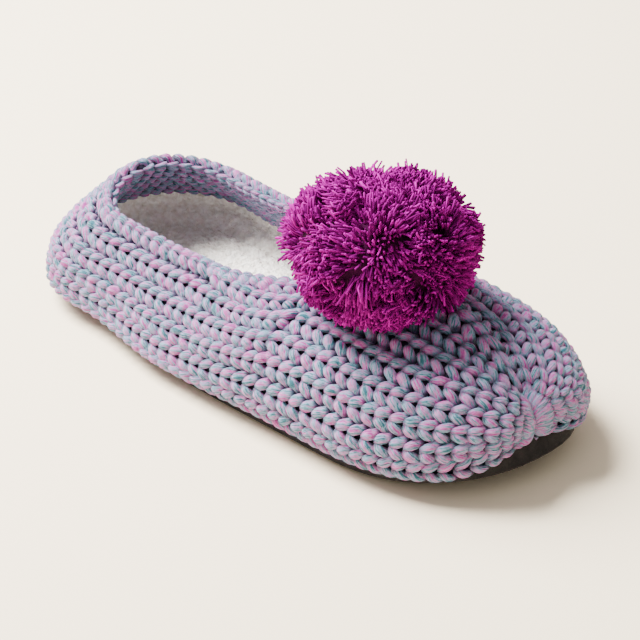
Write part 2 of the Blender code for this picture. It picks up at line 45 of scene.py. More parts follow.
# Sizes are in millimetres and the same as the CAD model's, with x from the back of the sole.
# side is -1 on the outer side and 1 on the inner one, t runs along the outline from heel to toe,
# v goes up a section from the sole to the crest, and w counts the ribs on the way up.
shoe = {
    "length": 244.0, "backX": -117.9, "shiftY": 0.1,
    "outline": {"x": (0.0, 40.0, 95.0, 171.0, 244.0), "half": (42.0, 42.0, 48.5, 47.0, 46.0)},
    "heelRound": 36.0, "toeRound": 61.0, "heelPower": 2.2, "toePower": 2.25,
    "toeLean": 3.0, "skew": 2.1,
    "edgeZ": 3.2, "spring": 9.4, "springFrom": 0.72,
    "heelFan": 38.0, "toeFan": 182.0,
    "bulge": 9.0, "heelSwell": 0.45, "heelSwellTo": 70.0,
    "roll": 3.2, "rollSpan": 0.30, "rollPeak": 0.33,
    "vampFrom": 88.0, "vampFull": 156.0,
}
handles = {                     # how far each section's curve is pulled out and up from its two ends
    "lowOut": 1.75, "lowOutVamp": 0.15, "lowUp": 0.34, "lowUpVamp": 0.24,
    "collarOut": 0.9, "collarDown": 0.32, "vampReach": 0.37,
    "noseReach": 0.35, "noseUp": 0.25, "noseFrom": 0.3,
}
collar = {
    "x": (12.8, 22.0, 36.0, 65.0, 98.0, 128.0, 150.0, 176.0, 200.0, 210.5, 219.5, 228.5, 233.0, 236.0),
    "z": (46.8, 43.8, 41.5, 41.2, 43.4, 49.0, 53.0, 54.5, 52.0, 48.6, 44.0, 37.0, 31.0, 27.0),
    "half": 32.3, "back": 13.8, "round": 30.0, "throat": 148.0, "throatRound": 52.0, "power": 2.2,
    "radius": 4.5, "facing": 26.5, "facingThroat": 2.0, "facingFade": 96.0,
    "ends": 0.004, "slopeAt": 0.93, "frontFrom": 90.0,
}
gather = {"x": 236.0, "low": 18.0, "edge": 3.0, "lobe": 8.0, "pucker": 0.6, "puckerFrom": 0.8,
          "pullFrom": 0.55}
ribs = {"pitch": 11.0, "vamp": 7.3, "collar": 5.5, "from": 92.0}
wall = 5.5                      # knit and fleece together
innerRows = 30                  # rows of points down the inside of the wall
insole = {"thick": 4.0, "sole": 2.7, "gap": 0.3}


def smooth(q):
    q = np.clip(q, 0.0, 1.0)
    return q * q * (3.0 - 2.0 * q)


def unit(vectors):
    return vectors / (np.linalg.norm(vectors, axis=-1, keepdims=True) + 1e-12)


def readCurve(xs, ys, x):                    # smooth, with no overshoot between its points
    xs, ys = np.array(xs, float), np.array(ys, float)
    steps = np.diff(xs)
    rises = np.diff(ys) / steps
    slopes = np.zeros_like(xs)
    slopes[0], slopes[-1] = rises[0], rises[-1]
    for i in range(1, len(xs) - 1):
        before, after = rises[i - 1], rises[i]
        if before * after > 0.0:
            slopes[i] = 2.0 * before * after / (before + after)
    x = np.clip(x, xs[0], xs[-1])
    i = np.clip(np.searchsorted(xs, x) - 1, 0, len(xs) - 2)
    t = (x - xs[i]) / steps[i]
    value = (2 * t**3 - 3 * t**2 + 1) * ys[i] + (3 * t**2 - 2 * t**3) * ys[i + 1]
    return value + ((t**3 - 2 * t**2 + t) * slopes[i] + (t**3 - t**2) * slopes[i + 1]) * steps[i]


def roundEnd(distance, length, power):
    q = np.clip(1.0 - distance / length, 0.0, 1.0)
    return (1.0 - q**power) ** (1.0 / power)


def halfWidth(x):
    ends = roundEnd(x, shoe["heelRound"], shoe["heelPower"])
    ends = ends * roundEnd(shoe["length"] - x, shoe["toeRound"], shoe["toePower"])
    return readCurve(shoe["outline"]["x"], shoe["outline"]["half"], x) * ends


def centreLine(x):
    lean = shoe["toeLean"] * smooth((x - 0.4 * shoe["length"]) / (0.6 * shoe["length"]))
    return lean + shoe["skew"] * (2.0 * x / shoe["length"] - 1.0)


def soleLift(x):
    start = shoe["springFrom"] * shoe["length"]
    q = np.clip((x - start) / (shoe["length"] - start), 0.0, 1.0)
    return shoe["spring"] * q * q


def topLine(x):
    return readCurve(collar["x"], collar["z"], x)


def rimHalf(x):
    ends = roundEnd(x - collar["back"], collar["round"], collar["power"])
    ends = ends * roundEnd(collar["throat"] - x, collar["throatRound"], collar["power"])
    return np.where(x < collar["throat"], collar["half"] * ends, 0.0)


def arcLengths(points):
    return np.concatenate([[0.0], np.cumsum(np.linalg.norm(np.diff(points, axis=0), axis=1))])


def along(points, shares):
    arcs = arcLengths(points)
    return np.stack([np.interp(shares * arcs[-1], arcs, points[:, k]) for k in range(points.shape[1])], -1)


def soleLine(side):
    x = shoe["length"] / 2.0 * (1.0 - np.cos(np.linspace(0.0, np.pi, 400)))
    line = np.stack([x, centreLine(x) + side * halfWidth(x)], -1)
    tangent = np.gradient(line, axis=0)
    outward = unit(np.stack([-side * tangent[:, 1], side * tangent[:, 0]], -1))
    return line, arcLengths(np.stack([x, halfWidth(x)], -1)), outward


soleLines = {side: soleLine(side) for side in (-1, 1)}


def stationOf(x):                            # share of the outline at which the sole passes x
    line, arcs, _ = soleLines[1]
    return np.interp(x, line[:, 0], arcs) / arcs[-1]


throatAt = stationOf(collar["throat"])


def frameOf(side, t):                        # lower edge, crest and directions of the sections at t
    line, arcs, outward = soleLines[side]
    s = t * arcs[-1]
    foot = np.stack([np.interp(s, arcs, line[:, k]) for k in (0, 1)], -1)
    out = unit(np.stack([np.interp(s, arcs, outward[:, k]) for k in (0, 1)], -1))
    heelArc = np.interp(shoe["heelFan"], line[:, 0], arcs)
    toeArc = np.interp(shoe["toeFan"], line[:, 0], arcs)
    toe = np.clip((s - toeArc) / (arcs[-1] - toeArc), 0.0, 1.0)
    rimX = collar["back"] + (shoe["heelFan"] - collar["back"]) * np.linspace(0.0, 1.0, 200) ** 2
    heelRim = along(np.stack([rimX, rimHalf(rimX)], -1), np.clip(s / heelArc, 0.0, 1.0))
    noseX = np.linspace(shoe["toeFan"], gather["x"], 200)
    nose = along(np.stack([noseX, topLine(noseX)], -1), toe)
    inHeel, inToe = foot[:, 0] < shoe["heelFan"], foot[:, 0] > shoe["toeFan"]
    crestX = np.where(inHeel, heelRim[:, 0], np.where(inToe, nose[:, 0], foot[:, 0]))
    crestHalf = np.where(inHeel, heelRim[:, 1], np.where(inToe, 0.0, rimHalf(crestX)))
    crest = np.stack([crestX, centreLine(crestX) + side * crestHalf, topLine(crestX)], -1)
    pull = smooth((toe - gather["pullFrom"]) / (1.0 - gather["pullFrom"]))
    footX = foot[:, 0] * (1.0 - pull) + pull * np.minimum(foot[:, 0], gather["x"] + gather["edge"])
    footZ = shoe["edgeZ"] + soleLift(foot[:, 0])
    footZ = footZ + pull * (gather["low"] - footZ)
    edge = np.stack([footX, foot[:, 1], footZ], -1)
    return edge, crest, np.concatenate([out, np.zeros((len(s), 1))], 1), toe


def handlesOf(side, edge, crest, out, toe):  # the two inner control points of each section
    height = (crest[:, 2] - edge[:, 2])[:, None]
    reach = np.linalg.norm((crest - edge)[:, :2], axis=1)[:, None]
    pinch = smooth((toe - gather["puckerFrom"]) / (1.0 - gather["puckerFrom"]))[:, None]
    pucker = 1.0 - gather["pucker"] * pinch
    heel = smooth((shoe["heelSwellTo"] - edge[:, :1]) / shoe["heelSwellTo"])
    swell = shoe["bulge"] * pucker * (1.0 + shoe["heelSwell"] * heel)
    vamp = smooth((crest[:, 0] - shoe["vampFrom"]) / (shoe["vampFull"] - shoe["vampFrom"]))[:, None]
    nose = smooth((toe - handles["noseFrom"]) / (1.0 - handles["noseFrom"]))[:, None]
    sideways = np.array([0.0, side, 0.0])
    lowOut = handles["lowOut"] - handles["lowOutVamp"] * vamp
    lowUp = handles["lowUp"] + handles["lowUpVamp"] * vamp
    low = edge + out * swell * lowOut + up * height * lowUp
    collarPull = out * swell * handles["collarOut"] - up * height * handles["collarDown"]
    vampPull = (out + sideways) * reach * handles["vampReach"]
    nosePull = out * (reach * handles["noseReach"] + gather["lobe"] * pucker)
    nosePull = nosePull + up * height * handles["noseUp"]
    vampPull = vampPull * (1.0 - nose) + nosePull * nose
    return low, crest + collarPull * (1.0 - vamp) + vampPull * vamp


def rollOut(v):                              # the lowest rib swells over the edge of the sole
    q = np.clip(v / shoe["rollSpan"], 0.0, 1.0)
    rise = np.clip(q / shoe["rollPeak"], 0.0, 1.0)
    return (1.0 - (1.0 - rise)**2) * (1.0 - smooth((q - shoe["rollPeak"]) / (1.0 - shoe["rollPeak"])))


def shell(side, t, v, roll=shoe["roll"]):    # over the tops of the ribs, from the sole to the crest
    t, v = np.broadcast_arrays(np.asarray(t, float), np.asarray(v, float))
    edge, crest, out, toe = frameOf(side, t.ravel())
    low, high = handlesOf(side, edge, crest, out, toe)
    v = v.ravel()[:, None]
    points = (1 - v)**3 * edge + 3 * (1 - v)**2 * v * low + 3 * (1 - v) * v**2 * high + v**3 * crest
    points = points + out * roll * rollOut(v) * (1.0 - smooth((toe - 0.4) / 0.4))[:, None]
    return points.reshape(t.shape + (3,))


def shellNormal(side, t, v, roll=shoe["roll"]):
    t, v = np.broadcast_arrays(np.asarray(t, float), np.asarray(v, float))
    heelEnd, toeEnd = 0.03, 0.965            # past these the normal turns into the middle plane
    ts, vs = np.clip(t, 0.008, toeEnd), np.clip(v, 0.03, 0.95)
    dt, dv = 0.006, 0.02
    byT = shell(side, ts + dt, vs, roll) - shell(side, ts - dt, vs, roll)
    byV = shell(side, ts, vs + dv, roll) - shell(side, ts, vs - dv, roll)
    normal = unit(-side * np.cross(byT, byV))
    middle = np.maximum(smooth((t - toeEnd) / (1.0 - toeEnd)), smooth((heelEnd - t) / heelEnd))
    normal[..., 1] *= 1.0 - middle
    return unit(normal)


def ribsToCrest(side, t):
    crest = frameOf(side, np.ravel(t))[1]
    share = smooth((crest[:, 0] - ribs["from"]) / (collar["throat"] - ribs["from"]))
    return (ribs["collar"] + (ribs["vamp"] - ribs["collar"]) * share).reshape(np.shape(t))


def spanOf(side, t):                         # length of each section from the sole to the crest
    rows = shell(side, np.ravel(t)[:, None], np.linspace(0.0, 1.0, 24)[None, :])
    return np.linalg.norm(np.diff(rows, axis=1), axis=2).sum(1).reshape(np.shape(t))


def lining(side, t, v, depth):               # inner side of the wall, this deep under the ribs
    return shell(side, t, v, 0.0) - shellNormal(side, t, v, 0.0) * np.asarray(depth)[..., None]


def collarSurface(side, t, q):               # q millimetres over the rim: outside, roll, then facing
    shape = np.shape(t)
    t, q = np.ravel(t), np.ravel(q)
    radius = collar["radius"]
    t = np.clip(t, 0.0, throatAt)
    crest = frameOf(side, t)[1]
    ahead = frameOf(side, np.minimum(t + 1e-3, throatAt))[1]
    behind = frameOf(side, np.maximum(t - 1e-3, 0.0))[1]
    run = unit((ahead - behind) * [1.0, 1.0, 0.0])
    inward = np.stack([side * run[:, 1], -side * run[:, 0], 0.0 * run[:, 0]], -1)
    ends = smooth((collar["ends"] - t) / collar["ends"])
    ends = np.maximum(ends, smooth((t - throatAt + collar["ends"]) / collar["ends"]))[:, None]
    straight = np.where((t < throatAt / 2.0)[:, None], [1.0, 0.0, 0.0], [-1.0, 0.0, 0.0])
    inward = unit(inward * (1.0 - ends) + straight * ends)
    near = crest - shell(side, t, np.full_like(t, collar["slopeAt"]))
    front = np.clip(-inward[:, 0], 0.0, 1.0) * (crest[:, 0] > collar["frontFrom"])
    slope = np.arctan2(near[:, 2], np.linalg.norm(near[:, :2], axis=1)) * (1.0 - front)
    span = spanOf(side, t)
    outside = shell(side, t, np.clip(1.0 + q / span, 0.0, 1.0))
    centre = crest + radius * (inward * np.sin(slope)[:, None] - up * np.cos(slope)[:, None])
    turn = (slope - np.clip(q / radius, 0.0, np.pi))[:, None]
    rolled = centre + radius * (up * np.cos(turn) - inward * np.sin(turn))
    deep = np.maximum(q - np.pi * radius, 0.0)
    down = np.sqrt(1.0 - front**2) / span
    station = t + deep * front / soleLines[side][1][-1]
    inside = lining(side, station, 1.0 - deep * down, np.full_like(t, 2.0 * radius))
    folded = np.where((q < np.pi * radius)[:, None], rolled, inside)
    points = np.where((q < 0.0)[:, None], outside, folded)
    return points.reshape(shape + (3,))


def collarNormal(side, t, q):
    dt, dq = 0.003, 0.6
    ts = np.clip(t, dt, throatAt - dt)
    byT = collarSurface(side, ts + dt, q) - collarSurface(side, ts - dt, q)
    byQ = collarSurface(side, t, q + dq) - collarSurface(side, t, q - dq)
    return unit(-side * np.cross(byT, byQ))


def facingDepth(side, t):
    crest = frameOf(side, np.ravel(t))[1]
    fade = smooth((crest[:, 0] - collar["facingFade"]) / (collar["throat"] - collar["facingFade"]))
    return (collar["facing"] + (collar["facingThroat"] - collar["facing"]) * fade).reshape(np.shape(t))


# materials

def newMaterial(name):
    material = bpy.data.materials.new(name)
    material.use_nodes = True
    tree = material.node_tree
    return material, tree.nodes, tree.links, tree.nodes["Principled BSDF"]


def addNode(nodes, kind, **values):
    node = nodes.new(kind)
    for name, value in values.items():
        setattr(node, name, value)
    return node


def addMath(nodes, links, operation, *values):   # a value is a number or another node's socket
    node = addNode(nodes, "ShaderNodeMath", operation=operation)
    for socket, value in zip(node.inputs, values):
        if isinstance(value, float):
            socket.default_value = value
        else:
            links.new(value, socket)
    return node.outputs[0]


def addNoise(nodes, links, place, detail, roughness):
    pattern = nodes.new("ShaderNodeTexNoise")
    pattern.inputs["Scale"].default_value = 1.0
    pattern.inputs["Detail"].default_value = detail
    pattern.inputs["Roughness"].default_value = roughness
    links.new(place, pattern.inputs["Vector"])
    return pattern


def addRamp(nodes, links, value, stops):
    ramp = nodes.new("ShaderNodeValToRGB")
    while len(ramp.color_ramp.elements) < len(stops):
        ramp.color_ramp.elements.new(0.5)
    for element, (place, colour) in zip(ramp.color_ramp.elements, stops):
        element.position = place
        element.color = (*colour, 1.0)
    links.new(value, ramp.inputs[0])
    return ramp.outputs["Color"]


def addBump(nodes, links, height, strength, distance):
    bump = nodes.new("ShaderNodeBump")
    bump.inputs["Strength"].default_value = strength
    bump.inputs["Distance"].default_value = distance
    links.new(height, bump.inputs["Height"])
    return bump.outputs[0]


def setFinish(shader, finish):
    for name, value in finish.items():
        shader.inputs[name].default_value = value


def newGroup(name, place, inputs, outputs):
    group = bpy.data.node_groups.new(name, "ShaderNodeTree")
    group.interface.new_socket(place, in_out="INPUT", socket_type="NodeSocketVector")
    for label in inputs:
        group.interface.new_socket(label, in_out="INPUT", socket_type="NodeSocketFloat")
    for label in outputs:
        group.interface.new_socket(label, in_out="OUTPUT", socket_type="NodeSocketFloat")
    nodes, links = group.nodes, group.links
    return group, nodes, links, nodes.new("NodeGroupInput"), nodes.new("NodeGroupOutput")


fibre = {"apart": 61.0, "detail": 4.0, "roughness": 0.68}


def makeFibreGroup():                        # fine fibres that run along a yarn, from its own UV map
    group, nodes, links, source, target = newGroup(
        "yarnFibres", "Yarn UV", ("Strand", "Along", "Around", "Twist"), ("Mask",))
    split = nodes.new("ShaderNodeSeparateXYZ")
    links.new(source.outputs["Yarn UV"], split.inputs[0])
    runs, turns = split.outputs["X"], split.outputs["Y"]
    length = addMath(nodes, links, "MULTIPLY", runs, source.outputs["Along"])
    lean = addMath(nodes, links, "MULTIPLY_ADD", runs, source.outputs["Twist"], turns)
    around = addMath(nodes, links, "MULTIPLY", lean, source.outputs["Around"])
    offset = addMath(nodes, links, "MULTIPLY", source.outputs["Strand"], fibre["apart"])
    place = nodes.new("ShaderNodeCombineXYZ")
    for socket, value in zip(place.inputs, (length, around, offset)):
        links.new(value, socket)
    pattern = addNoise(nodes, links, place.outputs[0], fibre["detail"], fibre["roughness"])
    links.new(pattern.outputs["Fac"], target.inputs["Mask"])
    return group


def makeGrainGroup():                        # a broad mottle with a finer grain over it
    group, nodes, links, source, target = newGroup(
        "mottleAndGrain", "Place", ("Mottle Scale", "Grain Scale"), ("Mottle", "Grain"))
    for label, detail in (("Mottle", 4.0), ("Grain", 3.0)):
        pattern = addNoise(nodes, links, source.outputs["Place"], detail, 0.5)
        links.new(source.outputs[label + " Scale"], pattern.inputs["Scale"])
        links.new(pattern.outputs["Fac"], target.inputs[label])
    return group


fibreGroup = makeFibreGroup()
grainGroup = makeGrainGroup()


def addFibres(nodes, links, alongYarn, aroundYarn, twist):
    group = addNode(nodes, "ShaderNodeGroup", node_tree=fibreGroup)
    for label, value in (("Along", alongYarn), ("Around", aroundYarn), ("Twist", twist)):
        group.inputs[label].default_value = value
    uv = addNode(nodes, "ShaderNodeUVMap", uv_map="yarn")
    strand = addNode(nodes, "ShaderNodeAttribute", attribute_name="strand")
    links.new(uv.outputs[0], group.inputs["Yarn UV"])
    links.new(strand.outputs["Fac"], group.inputs["Strand"])
    return group.outputs["Mask"]


def addPaintedShade(nodes, links, colour, low):     # painted shade: the yarn's colour is multiplied towards the low colour by its deep attribute, where it dives between its neighbours
    deep = addNode(nodes, "ShaderNodeAttribute", attribute_name="deep")
    mix = addNode(nodes, "ShaderNodeMix", data_type="RGBA", blend_type="MULTIPLY")
    links.new(deep.outputs["Fac"], mix.inputs["Factor"])
    links.new(colour, mix.inputs["A"])
    mix.inputs["B"].default_value = (*low, 1.0)
    return mix.outputs["Result"]


marl = {
    "stops": ((0.425, (0.42, 0.05, 0.33)), (0.463, (0.62, 0.25, 0.53)), (0.496, (0.27, 0.23, 0.50)),
              (0.529, (0.22, 0.39, 0.51)), (0.566, (0.02, 0.14, 0.20))),
    # low is a painted shade colour, multiplied into the yarn where it dives between its neighbours
    "low": (0.05, 0.035, 0.12), "fine": (0.15, 17.0, 0.03), "broad": (0.20, 3.2, 0.05), "share": 0.60,
    "relief": 0.0016,
    "finish": {"Roughness": 0.78, "Sheen Weight": 0.15, "Sheen Roughness": 0.5, "Specular IOR Level": 0.25},
}


def makeMarl():                              # thin plies of several colours laid side by side
    material, nodes, links, shader = newMaterial("marledYarn")
    fine, broad = addFibres(nodes, links, *marl["fine"]), addFibres(nodes, links, *marl["broad"])
    part = addMath(nodes, links, "MULTIPLY", broad, 1.0 - marl["share"])
    both = addMath(nodes, links, "MULTIPLY_ADD", fine, marl["share"], part)
    colour = addRamp(nodes, links, both, marl["stops"])
    links.new(addPaintedShade(nodes, links, colour, marl["low"]), shader.inputs["Base Color"])
    links.new(addBump(nodes, links, fine, 1.0, marl["relief"]), shader.inputs["Normal"])
    setFinish(shader, marl["finish"])
    return material


magenta = {
    "stops": ((0.15, (0.08, 0.0, 0.06)), (0.40, (0.17, 0.0, 0.13)), (0.62, (0.29, 0.0, 0.22)),
              (0.85, (0.54, 0.0, 0.42))),
    # low is a painted shade colour, multiplied into the strands towards their roots
    "low": (0.04, 0.01, 0.05), "fibres": (0.12, 5.0, 0.05), "share": 0.5,
    "finish": {"Roughness": 0.8, "Specular IOR Level": 0.04},
}


def makePompomYarn():                        # every strand has its own depth of colour
    material, nodes, links, shader = newMaterial("magentaYarn")
    strand = addNode(nodes, "ShaderNodeAttribute", attribute_name="strand")
    fine = addFibres(nodes, links, *magenta["fibres"])
    part = addMath(nodes, links, "MULTIPLY", fine, 1.0 - magenta["share"])
    both = addMath(nodes, links, "MULTIPLY_ADD", strand.outputs["Fac"], magenta["share"], part)
    colour = addRamp(nodes, links, both, magenta["stops"])
    links.new(addPaintedShade(nodes, links, colour, magenta["low"]), shader.inputs["Base Color"])
    setFinish(shader, magenta["finish"])
    return material


surfaces = {
    # painted shade: the backing is near black, standing in for the shade seen between the stitches
    "knitBackingPaintedShade": {"dark": (0.012, 0.010, 0.024), "light": (0.028, 0.024, 0.050), "roughness": 0.95,
                    "mottle": 300.0, "grain": 900.0, "relief": 0.0004},
    "creamFleece": {"dark": (0.82, 0.77, 0.71), "light": (1.0, 0.98, 0.94), "roughness": 0.95,
                    "mottle": 420.0, "grain": 520.0, "relief": 0.0030},
    "charcoalSole": {"dark": (0.010, 0.009, 0.010), "light": (0.022, 0.020, 0.021), "roughness": 0.85,
                     "mottle": 180.0, "grain": 1400.0, "relief": 0.0003},
    # painted shade: the heart is near black, standing in for the shade deep inside the pompom
    "pompomHeartPaintedShade": {"dark": (0.020, 0.0, 0.014), "light": (0.05, 0.0, 0.035), "roughness": 1.0,
                    "mottle": 300.0, "grain": 900.0, "relief": 0.0006},
}


def makeSurface(name):
    look = surfaces[name]
    material, nodes, links, shader = newMaterial(name)
    place = nodes.new("ShaderNodeTexCoord")
    group = addNode(nodes, "ShaderNodeGroup", node_tree=grainGroup)
    links.new(place.outputs["Object"], group.inputs["Place"])
    group.inputs["Mottle Scale"].default_value = look["mottle"]
    group.inputs["Grain Scale"].default_value = look["grain"]
    colour = addRamp(nodes, links, group.outputs["Mottle"], ((0.35, look["dark"]), (0.65, look["light"])))
    links.new(colour, shader.inputs["Base Color"])
    links.new(addBump(nodes, links, group.outputs["Grain"], 0.8, look["relief"]), shader.inputs["Normal"])
    setFinish(shader, {"Roughness": look["roughness"], "Specular IOR Level": 0.2})
    return material


print("materials")
marledYarn = makeMarl()
magentaYarn = makePompomYarn()
shadowKnit = makeSurface("knitBackingPaintedShade")
creamFleece = makeSurface("creamFleece")
darkSole = makeSurface("charcoalSole")
paintedShadePompom = makeSurface("pompomHeartPaintedShade")


# meshes

def placed(points):                          # from millimetres along the sole to the frame's metres
    return (np.asarray(points) + [shoe["backX"], shoe["shiftY"], 0.0]) * mm


def addPiece(name, verts, faces, material):
    mesh = bpy.data.meshes.new(name)
    mesh.from_pydata(verts.tolist(), [], faces)
    mesh.shade_smooth()
    mesh.materials.append(material)
    piece = bpy.data.objects.new(name, mesh)
    bpy.context.scene.collection.objects.link(piece)
    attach(piece, "root")
    return piece


def gridFaces(rows, columns, start, flip):
    a = start + (np.arange(rows - 1)[:, None] * columns + np.arange(columns - 1)[None, :]).ravel()
    quads = np.stack([a, a + 1, a + columns + 1, a + columns], -1)
    return quads[:, ::-1] if flip else quads


def addSkin(name, strips, material, weld=0.02):   # strips of (rows of points, flip), welded
    verts, faces, start = [], [], 0
    for rows, flip in strips:
        verts.append(rows.reshape(-1, 3))
        faces += gridFaces(rows.shape[0], rows.shape[1], start, flip).tolist()
        start += rows.shape[0] * rows.shape[1]
    piece = addPiece(name, placed(np.concatenate(verts)), faces, material)
    bm = bmesh.new()
    bm.from_mesh(piece.data)
    bmesh.ops.remove_doubles(bm, verts=bm.verts, dist=weld * mm)
    bmesh.ops.dissolve_degenerate(bm, edges=bm.edges, dist=weld * mm)
    bmesh.ops.recalc_face_normals(bm, faces=bm.faces)
    if bm.calc_volume(signed=True) < 0.0:
        bmesh.ops.reverse_faces(bm, faces=bm.faces)
    bm.to_mesh(piece.data)
    bm.free()
    piece.data.shade_smooth()
    return piece


def mapYarn(piece, centres, sides):          # U is millimetres along each yarn, V once around it
    count, rings = centres.shape[:2]
    steps = np.linalg.norm(np.diff(centres, axis=1), axis=2)
    run = np.concatenate([np.zeros((count, 1)), np.cumsum(steps, axis=1)], 1)
    share = np.arange(sides + 1) / sides
    at, turn = np.meshgrid(np.arange(rings - 1), np.arange(sides), indexing="ij")
    at, turn = at.ravel(), turn.ravel()
    quadU = run[:, np.stack([at, at + 1, at + 1, at], -1)]
    quadV = share[np.stack([turn, turn, turn + 1, turn + 1], -1)]
    turn = np.arange(sides)
    startV = share[np.stack([turn, turn, turn + 1], -1)]
    corners = []
    for u, v in ((quadU, quadV), (run[:, :1, None], startV), (run[:, -1:, None], startV[:, [0, 2, 1]])):
        shape = (count,) + v.shape
        corners.append(np.stack([np.broadcast_to(u, shape), np.broadcast_to(v, shape)], -1).reshape(-1, 2))
    piece.data.uv_layers.new(name="yarn").data.foreach_set("uv", np.concatenate(corners).ravel())


def addYarn(name, paths, material, sides=10, flat=0.85):   # one tube for each row of the paths
    centres, ups, radii, strand, deep = (
        np.concatenate([path[key] for path in paths]) for key in ("centre", "up", "radius", "strand", "deep"))
    count, rings = radii.shape
    ahead = unit(np.gradient(centres, axis=1))
    across = unit(np.cross(ahead, ups))
    rise = np.cross(across, ahead)
    angle = -np.pi / 2.0 + 2.0 * np.pi * np.arange(sides) / sides     # the UV seam lies underneath
    spokes = across[:, :, None] * np.cos(angle)[:, None] + rise[:, :, None] * np.sin(angle)[:, None] * flat
    ring = centres[:, :, None] + radii[:, :, None, None] * spokes
    domes = np.array([-0.6, 0.6])[None, :, None]
    tips = centres[:, [0, -1]] + ahead[:, [0, -1]] * radii[:, [0, -1], None] * domes
    verts = np.concatenate([ring.reshape(count, rings * sides, 3), tips], 1)
    stride = rings * sides + 2
    i, j = np.meshgrid(np.arange(rings - 1), np.arange(sides), indexing="ij")
    i, j = i.ravel(), j.ravel()
    k = (j + 1) % sides
    quads = np.stack([i * sides + j, (i + 1) * sides + j, (i + 1) * sides + k, i * sides + k], -1)
    j = np.arange(sides)
    k = (j + 1) % sides
    last = (rings - 1) * sides
    starts = np.stack([np.full(sides, rings * sides), j, k], -1)
    ends = np.stack([np.full(sides, rings * sides + 1), last + k, last + j], -1)
    offsets = (np.arange(count) * stride)[:, None, None]
    faces = (quads[None] + offsets).reshape(-1, 4).tolist()
    faces += (starts[None] + offsets).reshape(-1, 3).tolist()
    faces += (ends[None] + offsets).reshape(-1, 3).tolist()
    piece = addPiece(name, placed(verts.reshape(-1, 3)), faces, material)
    mapYarn(piece, centres, sides)
    strandAll = np.repeat(strand, stride)
    # the deep attribute carries the painted shade that darkens each yarn where it dives
    deepAll = np.concatenate([np.repeat(deep, sides, axis=1), deep[:, [0, -1]]], 1).ravel()
    for label, values in (("strand", strandAll), ("deep", deepAll)):
        layer = piece.data.attributes.new(label, "FLOAT", "POINT")
        layer.data.foreach_set("value", values.astype(np.float32))
    return piece


# knit: every leg of every stitch is a plump piece of yarn laid on the last

knit = {
    "rowPitch": 6.1, "legRadius": 2.1, "rings": 10,
    "apexAt": -0.36, "run": 1.04,            # where a leg starts and how far it runs, in rows
    "inner": 0.11, "outer": 0.92,            # from the middle of the rib outwards, in half ribs
    "sink": (1.0, 3.9), "spare": 0.5,        # how deep the two ends dive, and what they leave of the wall
    "jitter": 0.10, "backing": 3.6, "groove": 1.1,
    "edgeReach": 0.60, "edgeSink": (1.0, 1.2),   # the lowest legs hook under the edge
    "toeDrop": 2.0, "toeOut": 1.5,           # the edge hangs lower round the toe
    "heel": (0.12, 0.30), "heelNarrow": 0.14, "heelSink": 0.6,   # the ribs stand out more round the heel
    "stop": 4.0,                             # the rows end this far before the pinch of the toe
}
chance = np.random.default_rng(5)


# place and normal read the surface at a station and a height, and timeAt turns millimetres into stations
def legs(place, normal, side, timeAt, rowAt, middle, halfRib, pitch, scale, ends=(-1, 1), dive=knit["sink"]):
    u = np.linspace(0.0, 1.0, knit["rings"])[None, :]
    paths = []
    for end in ends:
        count = len(rowAt)
        wobble = chance.uniform(-1.0, 1.0, (count, 4)) * knit["jitter"]
        run = knit["run"] / scale(timeAt(rowAt))[:, None] ** 0.8 + wobble[:, 1:2]
        s = rowAt[:, None] + pitch * (knit["apexAt"] + wobble[:, :1] * 0.5 + run * u)
        t = timeAt(s)
        heel = 1.0 - smooth((t - knit["heel"][0]) / (knit["heel"][1] - knit["heel"][0]))
        lean = knit["inner"] + (knit["outer"] - knit["heelNarrow"] * heel - knit["inner"]) * u ** 0.9
        across = middle(t) + end * halfRib(t) * lean
        size = scale(t) * (1.0 + wobble[:, 2:3] * 0.8)
        radius = knit["legRadius"] * size * (0.55 + 0.45 * np.sin(np.pi * (0.05 + 0.88 * u)) ** 0.6)
        sink = dive[1] * (1.0 + knit["heelSink"] * heel) * smooth((u - 0.30) / 0.70) ** 1.3
        sink = dive[0] * (1.0 - smooth(u / 0.45)) + sink
        upward = normal(side, t, across)
        depth = np.minimum(radius * 0.85 + sink * np.maximum(size, 0.85), wall - knit["spare"] - radius)
        centre = place(side, t, across) - upward * depth[..., None]
        # painted shade: each leg darkens towards both ends, where it dives under its neighbours
        deep = 0.7 * (1.0 - smooth(u / 0.22)) + 0.95 * smooth((u - 0.70) / 0.28)
        paths.append({"centre": centre, "up": upward, "radius": radius, "deep": deep + 0.0 * radius,
                      "strand": chance.uniform(0.0, 1.0, count)})
    return paths


def ribPlace(side, t, w):                    # below the first rib the knit tucks in under the edge
    points = shell(side, t, np.clip(w / ribsToCrest(side, t), 0.0, 1.0))
    _, _, out, toe = frameOf(side, np.ravel(t))
    out, toe = out.reshape(points.shape), toe.reshape(np.shape(t))
    below = np.maximum(-w, 0.0) * ribs["pitch"]
    hang = (smooth((toe - 0.05) / 0.6) * smooth((0.9 - w) / 0.9))[..., None]
    points = points - below[..., None] * (up * 0.8 + out * 0.3)
    return points + hang * (out * knit["toeOut"] - up * knit["toeDrop"])


def ribNormal(side, t, w):
    return shellNormal(side, t, np.clip(w / ribsToCrest(side, t), 0.0, 1.0))


def columnTimes(place, side, across, start, stop):   # stations against millimetres along one column
    t = np.linspace(start, stop, 500)
    arcs = arcLengths(place(side, t, across(t)))
    return arcs, t


def pitchAt(side, t):                        # width of a rib there, against its full width
    return spanOf(side, t) / ribsToCrest(side, t) / ribs["pitch"]


def startOf(side, k, above):                 # the upper ribs start behind the throat
    if k + above < ribs["collar"]:
        return 0.0
    dense = np.linspace(0.0, throatAt, 400)
    return dense[np.argmax(ribsToCrest(side, dense) > k + above)]


